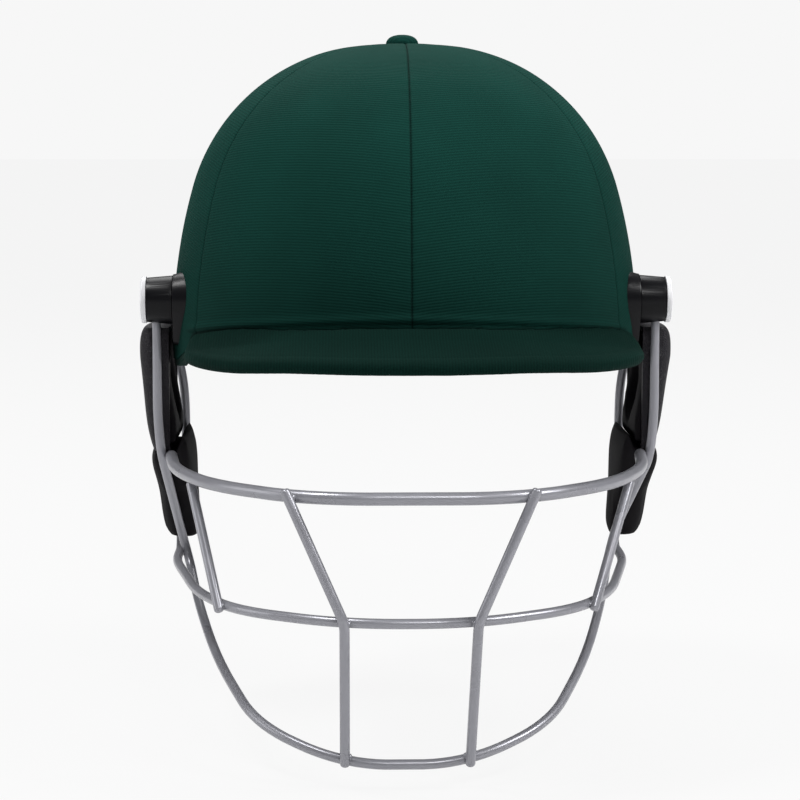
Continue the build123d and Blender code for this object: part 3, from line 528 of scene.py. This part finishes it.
def banded(name, code, coordinates, period, cross, relief, rough=0.85, nap=0.2, level=0.25):
    """Woven tape: raised ribs one way, finer yarns the other, and a little fluff."""
    made, tree, output = new_material(name)
    place = add_node(tree, "ShaderNodeTexCoord").outputs[coordinates]
    rib = add_node(tree, "ShaderNodeTexWave",
                   {"Vector": place, "Scale": bands_per(period), "Distortion": 0.4, "Detail": 1.0},
                   wave_type="BANDS", bands_direction="X")
    yarn = add_node(tree, "ShaderNodeTexWave",
                    {"Vector": place, "Scale": bands_per(cross), "Distortion": 0.8, "Detail": 1.0},
                    wave_type="BANDS", bands_direction="Y")
    fluff = add_node(tree, "ShaderNodeTexNoise", {"Vector": place, "Scale": 900.0, "Detail": 3.0})
    weave = add_node(tree, "ShaderNodeMath", {0: yarn.outputs["Fac"], 1: 0.5, 2: rib.outputs["Fac"]},
                     operation="MULTIPLY_ADD")
    weave = add_node(tree, "ShaderNodeMath", {0: fluff.outputs["Fac"], 1: 0.4, 2: weave.outputs[0]},
                     operation="MULTIPLY_ADD")
    shade = add_node(tree, "ShaderNodeMapRange",
                     {"Value": weave.outputs[0], "From Min": 0.1, "From Max": 1.7,
                      "To Min": 0.55, "To Max": 1.3})
    tone = add_node(tree, "ShaderNodeMix", data_type="RGBA", blend_type="MULTIPLY")
    tone.inputs[0].default_value = 1.0
    tone.inputs[6].default_value = colour(code)
    tree.links.new(shade.outputs[0], tone.inputs[7])
    bump = add_node(tree, "ShaderNodeBump",
                    {"Height": weave.outputs[0], "Strength": 1.0, "Distance": relief * mm})
    skin = add_node(tree, "ShaderNodeBsdfPrincipled",
                    {"Base Color": tone.outputs[2], "Roughness": rough, "Specular IOR Level": level,
                     "Sheen Weight": nap, "Sheen Roughness": 0.5, "Normal": bump.outputs[0]})
    tree.links.new(skin.outputs[0], output.inputs["Surface"])
    return made


cotton_tape = banded("woven_cotton_tape", "#0A241E", "Object", 1.0, 0.9, 0.08, nap=0.02, level=0.05)
binding = eased("rim_binding", "rim_tape", "shell", cotton_tape, 0.35)
rim_length = line_length([dome_place(angle, run_to(rim_level(angle))) for angle in range(-180, 181)])


# Shell, peak core and side bosses
# Injection-moulded ABS with a fine spark-eroded grain: a matt shell, the peak's stiff
# core, and the glossier housings that cover the side bolts.
def moulded(name, code, grain, relief, rough, spread=0.12, worn="#8A8A8E", wear=0.35, metal=0.0, level=0.5):
    """A moulded or coated surface: even grain, slight unevenness in tone and polish,
    and paler rubbed edges."""
    made, tree, output = new_material(name)
    place = add_node(tree, "ShaderNodeTexCoord").outputs["Object"]
    fine = add_node(tree, "ShaderNodeTexNoise", {"Vector": place, "Scale": 1 / (grain * mm), "Detail": 2.0})
    broad = add_node(tree, "ShaderNodeTexNoise", {"Vector": place, "Scale": 45.0, "Detail": 4.0})
    tone = add_node(tree, "ShaderNodeMapRange",
                    {"Value": broad.outputs["Fac"], "From Min": 0.3, "From Max": 0.7,
                     "To Min": 1 - spread, "To Max": 1 + spread})
    base = add_node(tree, "ShaderNodeMix", data_type="RGBA", blend_type="MULTIPLY")
    base.inputs[0].default_value = 1.0
    base.inputs[6].default_value = colour(code)
    tree.links.new(tone.outputs[0], base.inputs[7])
    bend = add_node(tree, "ShaderNodeNewGeometry").outputs["Pointiness"]
    bare = add_node(tree, "ShaderNodeMapRange",
                    {"Value": bend, "From Min": 0.53, "From Max": 0.62, "To Min": 0.0, "To Max": wear})
    patchy = add_node(tree, "ShaderNodeMath", {0: bare.outputs[0], 1: broad.outputs["Fac"]},
                      operation="MULTIPLY")
    rubbed = add_node(tree, "ShaderNodeMix", data_type="RGBA")
    tree.links.new(patchy.outputs[0], rubbed.inputs[0])
    tree.links.new(base.outputs[2], rubbed.inputs[6])
    rubbed.inputs[7].default_value = colour(worn)
    polish = add_node(tree, "ShaderNodeMapRange",
                      {"Value": broad.outputs["Fac"], "From Min": 0.3, "From Max": 0.7,
                       "To Min": rough - 0.06, "To Max": rough + 0.06})
    bump = add_node(tree, "ShaderNodeBump",
                    {"Height": fine.outputs["Fac"], "Strength": 1.0, "Distance": relief * mm})
    skin = add_node(tree, "ShaderNodeBsdfPrincipled",
                    {"Base Color": rubbed.outputs[2], "Roughness": polish.outputs[0], "Metallic": metal,
                     "Specular IOR Level": level, "Normal": bump.outputs[0]})
    tree.links.new(skin.outputs[0], output.inputs["Surface"])
    return made


shell_plastic = moulded("moulded_abs_matt", "#151517", 0.5, 0.03, 0.6, level=0.3)
boss_plastic = moulded("moulded_nylon_satin", "#0B0B0E", 0.45, 0.012, 0.32, worn="#2C2C30", level=0.16)
cap_plastic = moulded("moulded_nylon_grey", "#CFCFD1", 0.4, 0.01, 0.42, spread=0.05, worn="#E0E0E0")
eased("outer_shell", "moulded_shell", "shell", shell_plastic)
board = eased("peak_core", "peak_board", "shell", shell_plastic)
normals = [corner.normal.copy() for corner in board.data.vertices]
for corner, normal in zip(board.data.vertices, normals):
    corner.co += peak_sag(corner.co, max(normal.z, 0))
for side in ("left", "right"):
    eased(f"side_flange_{side}", f"flange_{side}", "shell", boss_plastic, 0.35)
    eased(f"fixing_boss_{side}", f"boss_{side}", "grille", boss_plastic, 0.3)
    eased(f"fixing_cap_{side}", f"bolt_cap_{side}", "shell", cap_plastic, 0.2)

# Bolts, nuts and rivets
# Turned and pressed steel, zinc plated and tumbled smooth, a little dulled by handling.
# The bolts carry the grille, and the rivets hold the strap inside the shell.
zinc = moulded("zinc_plated_steel", "#B3B4B5", 0.35, 0.006, 0.32, spread=0.1, worn="#D5D5D5", metal=1.0)
for side in ("left", "right"):
    eased(f"fixing_bolt_{side}", f"bolt_{side}", "shell", zinc, 0.2)
    eased(f"fixing_nut_{side}", f"nut_{side}", "shell", zinc, 0.2)
    eased(f"strap_rivet_{side}", f"rivet_{side}", "shell", zinc, 0.2)

# Foam liner
# Closed-cell EVA foam, moulded to the inside of the shell and glued there, with a fine
# cellular skin.
foam = moulded("closed_cell_eva_foam", "#46464B", 0.9, 0.12, 0.88, spread=0.15, worn="#55555A", level=0.25)
liner = eased("foam_liner", "moulded_foam_liner", "shell", foam)


# Comfort pads
# Soft foam in a black spacer mesh: a brow pad, two side pads, a nape pad and a crown
# pad, stuck inside the liner and a little swollen between their edges.
drawn, most_swell, pressure, cloth_frames = 0.45 * mm, 0.9 * mm, 3.0, 20


def plump(node, name, body, finish, voxel=2.4, smoothing=5):
    """A padded piece: the solid's form drawn in a little and blown up as cloth."""
    piece = welded(node, name)
    even = piece.modifiers.new("even", "REMESH")
    even.mode = "VOXEL"
    even.voxel_size = voxel * mm
    apply_modifiers(piece)
    soften = piece.modifiers.new("soften", "SMOOTH")
    soften.factor, soften.iterations = 0.5, smoothing
    apply_modifiers(piece)
    inward = [corner.normal.copy() for corner in piece.data.vertices]
    for corner, normal in zip(piece.data.vertices, inward):
        corner.co -= normal * drawn
    rest = [corner.co.copy() for corner in piece.data.vertices]
    cover = piece.modifiers.new("cloth", "CLOTH")
    cover.settings.quality = 5
    cover.settings.use_pressure = True
    cover.settings.uniform_pressure_force = pressure
    cover.settings.effector_weights.gravity = 0
    cover.point_cache.frame_start, cover.point_cache.frame_end = 1, cloth_frames
    for step in range(1, cloth_frames + 1):
        bpy.context.scene.frame_set(step)
    bpy.context.view_layer.objects.active = piece
    bpy.ops.object.modifier_apply(modifier="cloth")
    bpy.context.scene.frame_set(1)
    for corner, before in zip(piece.data.vertices, rest):
        moved = corner.co - before
        if moved.length > most_swell:
            corner.co = before + moved.normalized() * most_swell
    finer = piece.modifiers.new("finer", "SUBSURF")
    finer.levels = finer.render_levels = 1
    apply_modifiers(piece)
    bpy.ops.object.shade_smooth()
    piece.data.materials.append(finish)
    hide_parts(node)
    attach(piece, body)
    return piece


def mirrored(piece, node, name, body):
    """The same pad for the other side, with its own mesh."""
    bpy.ops.object.select_all(action="DESELECT")
    other = bpy.data.objects.new(name, piece.data.copy())
    bpy.context.scene.collection.objects.link(other)
    other.data.transform(Matrix.Scale(-1, 4, (1, 0, 0)))
    other.data.flip_normals()
    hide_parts(node)
    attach(other, body)
    return other


def celled(name, code, cell, relief, rough, nap, spread=0.35, edge=0.5, level=0.22):
    """A surface of small rounded cells: the grain of leather, or the holes of a mesh."""
    made, tree, output = new_material(name)
    place = add_node(tree, "ShaderNodeTexCoord").outputs["Object"]
    warp = add_node(tree, "ShaderNodeTexNoise", {"Vector": place, "Scale": 300.0, "Detail": 2.0})
    shifted = add_node(tree, "ShaderNodeVectorMath", {0: warp.outputs["Color"], 1: (0.0008, 0.0008, 0.0008)},
                       operation="MULTIPLY")
    moved = add_node(tree, "ShaderNodeVectorMath", {0: place, 1: shifted.outputs[0]}, operation="ADD")
    cells = add_node(tree, "ShaderNodeTexVoronoi",
                     {"Vector": moved.outputs[0], "Scale": 1 / (cell * mm), "Randomness": edge},
                     feature="DISTANCE_TO_EDGE")
    height = add_node(tree, "ShaderNodeMapRange",
                      {"Value": cells.outputs["Distance"], "From Min": 0.0, "From Max": 0.22,
                       "To Min": 0.0, "To Max": 1.0})
    broad = add_node(tree, "ShaderNodeTexNoise", {"Vector": place, "Scale": 60.0, "Detail": 3.0})
    mixed = add_node(tree, "ShaderNodeMath", {0: broad.outputs["Fac"], 1: 0.6, 2: height.outputs[0]},
                     operation="MULTIPLY_ADD")
    shade = add_node(tree, "ShaderNodeMapRange",
                     {"Value": mixed.outputs[0], "From Min": 0.2, "From Max": 1.4,
                      "To Min": 1 - spread, "To Max": 1 + spread / 2})
    tone = add_node(tree, "ShaderNodeMix", data_type="RGBA", blend_type="MULTIPLY")
    tone.inputs[0].default_value = 1.0
    tone.inputs[6].default_value = colour(code)
    tree.links.new(shade.outputs[0], tone.inputs[7])
    bump = add_node(tree, "ShaderNodeBump",
                    {"Height": height.outputs[0], "Strength": 1.0, "Distance": relief * mm})
    skin = add_node(tree, "ShaderNodeBsdfPrincipled",
                    {"Base Color": tone.outputs[2], "Roughness": rough, "Specular IOR Level": level,
                     "Sheen Weight": nap, "Sheen Roughness": 0.5, "Normal": bump.outputs[0]})
    tree.links.new(skin.outputs[0], output.inputs["Surface"])
    return made


spacer_mesh = celled("polyester_spacer_mesh", "#2A2A2F", 2.0, 0.25, 0.85, 0.3, spread=0.5, edge=0.25)
plump("brow_pad", "brow_cushion", "shell", spacer_mesh)
plump("nape_pad", "nape_cushion", "shell", spacer_mesh)
plump("crown_pad", "crown_cushion", "shell", spacer_mesh)
side_pad = plump("side_pad_left", "side_cushion_left", "shell", spacer_mesh)
mirrored(side_pad, "side_pad_right", "side_cushion_right", "shell")

# Chin strap
# Black polyester webbing riveted inside the shell and stowed round the back of the rim
# through a moulded slider.
webbing_width, webbing_wall, strap_radius = 16.0 * mm, 1.6 * mm, 0.108
webbing = banded("polyester_webbing", "#2B2B30", "UV", 1.3, 2.2, 0.14, rough=0.7, nap=0.1)
for side in ("left", "right"):
    strap = eased(f"chin_strap_{side}", f"webbing_{side}", "shell", webbing, 0.3)
    layer = strap.data.uv_layers.get("UVMap") or strap.data.uv_layers.new(name="UVMap")
    for loop in strap.data.loops:
        corner = strap.data.vertices[loop.vertex_index].co
        turn = corner.xy.angle_signed(Vector((0, 1)))
        layer.data[loop.index].uv = (turn * strap_radius, corner.z)
eased("strap_slider", "webbing_slider", "shell", boss_plastic, 0.3)


# Wire grille
# Round steel wire, cold bent and welded, then dipped in silver-grey enamel. The lower
# part has sprung a little aside, as welded frames do.
enamel = moulded("silver_grey_enamel", "#88888E", 1.1, 0.015, 0.31, spread=0.05, wear=0.0, metal=0.35)


def sprung(place, upright):
    """How far a welded wire has sprung aside: the lower grille leans to the wearer's right,
    the front uprights slide along their bars, and the chin bar sags in its middle."""
    across, level = place.x / mm, place.z / mm
    drop = eased_share((-70 - level) / 45)
    low = share_of((-130 - level) / 57)
    if upright and across < 0:
        return Vector((-0.7, 0, 1.2 * low)) * mm
    if upright:
        head = share_of((level + 122) / 52)
        return Vector((-2.9 - 1.7 * low, -0.3 - 0.6 * head, 1.2 * low)) * mm
    side = 0.5 + min(max(across / 80, -0.5), 0.5)
    return Vector((-(1.6 + 1.9 * side) * drop - 1.4 * low, 0, -2.0 * low * exp(-(across / 38) ** 2))) * mm


for wire, coat, edge in (("frame_wire", 0.2, 0), ("mid_bar", 0.2, 0), ("top_bar", 0.3, 0.45),
                         ("upright_front_left", 0.2, 0.45), ("upright_front_right", 0.2, 0.45),
                         ("upright_side_left", 0.2, 0.45), ("upright_side_right", 0.2, 0.45)):
    piece = eased(f"grille_{wire}", f"wire_{wire}", "grille", enamel, edge)
    normals = [corner.normal.copy() for corner in piece.data.vertices]
    for corner, normal in zip(piece.data.vertices, normals):
        clear = share_of((-20 - corner.co.z / mm) / 15)
        corner.co += normal * coat * clear * mm + sprung(corner.co, "front" in wire)

bead_places = (("side_top", 114.03, -27.56, -69.53, 1.9), ("side_mid", 107.68, 12.09, -121.64, 2.0),
               ("top_front", 51.79, -163.70, -69.21, 1.9), ("mid_front", 28.73, -170.04, -122.42, 1.8),
               ("chin_front", 28.37, -145.72, -186.80, 1.8), ("top_side", 98.55, -100.38, -70.12, 1.9),
               ("mid_side", 81.79, -129.89, -122.03, 1.9))
beads = []
for name, x, y, z, size in bead_places:
    for way in (1, -1):
        bpy.ops.object.select_all(action="DESELECT")
        bpy.ops.mesh.primitive_ico_sphere_add(subdivisions=4, radius=size * mm,
                                              location=(way * x * mm, y * mm, z * mm))
        bead = bpy.context.object
        bpy.ops.object.transform_apply(location=True, rotation=True, scale=True)
        heart = Vector((way * x, y, z)) * mm
        aside = sprung(heart, name.endswith("front"))
        for corner in bead.data.vertices:
            out = corner.co - heart
            swell = 1 + 0.16 * noise.noise(corner.co * 420) + 0.05 * noise.noise(corner.co * 1500)
            corner.co = heart + Vector((out.x * 1.25, out.y * 1.05, out.z * 0.9)) * swell + aside
        beads.append(bead)
bpy.ops.object.select_all(action="DESELECT")
for bead in beads:
    bead.select_set(True)
bpy.context.view_layer.objects.active = beads[0]
bpy.ops.object.join()
beads = bpy.context.object
beads.name = "weld_beads"
beads.location = (0, 0, 0)
bpy.ops.object.shade_smooth()
beads.data.materials.append(enamel)
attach(beads, "grille")

# Ear guards
# Leather-grained plastic shells over soft ear pads, each hung on the grille by a tab,
# with a thick smooth pad below for the jaw.
grained = celled("leather_grained_abs", "#1A181D", 1.1, 0.20, 0.46, 0.0, spread=0.3, edge=1.0)
pad_leather = celled("polyurethane_leather", "#0E0C0F", 0.5, 0.03, 0.72, 0.0,
                     spread=0.2, edge=1.0, level=0.08)


bulge_start = 112.7 * mm


def drawn_in(piece):
    """Flatten the outer bulge that the ear pad and its shell share, more towards its foot
    on the wearer's left."""
    for corner in piece.data.vertices:
        way = 1 if corner.co.x > 0 else -1
        low = share_of((-22 - corner.co.z / mm) / 38)
        spare = abs(corner.co.x) - bulge_start
        if spare > 0:
            corner.co.x -= way * spare * (0.15 + (0.24 if way > 0 else 0.10) * low)


for side in ("left", "right"):
    drawn_in(eased(f"ear_guard_shell_{side}", f"guard_shell_{side}", "grille", grained))
    eased(f"guard_tab_{side}", f"guard_hanger_{side}", "grille", boss_plastic, 0.3)
ear_pad = plump("ear_pad_left", "ear_cushion_left", "grille", pad_leather)
drawn_in(ear_pad)
pad_middle = 114 * mm
for corner in ear_pad.data.vertices:
    corner.co.x += 0.5 * max(pad_middle - corner.co.x, 0)
mirrored(ear_pad, "ear_pad_right", "ear_cushion_right", "grille")
jaw_pad = plump("jaw_pad_left", "jaw_cushion_left", "grille", pad_leather, voxel=1.8, smoothing=2)
for corner in jaw_pad.data.vertices:
    across, level = corner.co.x / mm, corner.co.z / mm
    top = share_of((level + 86) / 17)
    inner = share_of((110 - across) / 3)
    foot = share_of((-92 - level) / 20)
    corner.co.z += (top * (1.0 + 7.5 * inner) - 3.4 * foot) * mm
mirrored(jaw_pad, "jaw_pad_right", "jaw_cushion_right", "grille")

# Size
# The dressed helmet's box, from its shown pieces.
low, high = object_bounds()
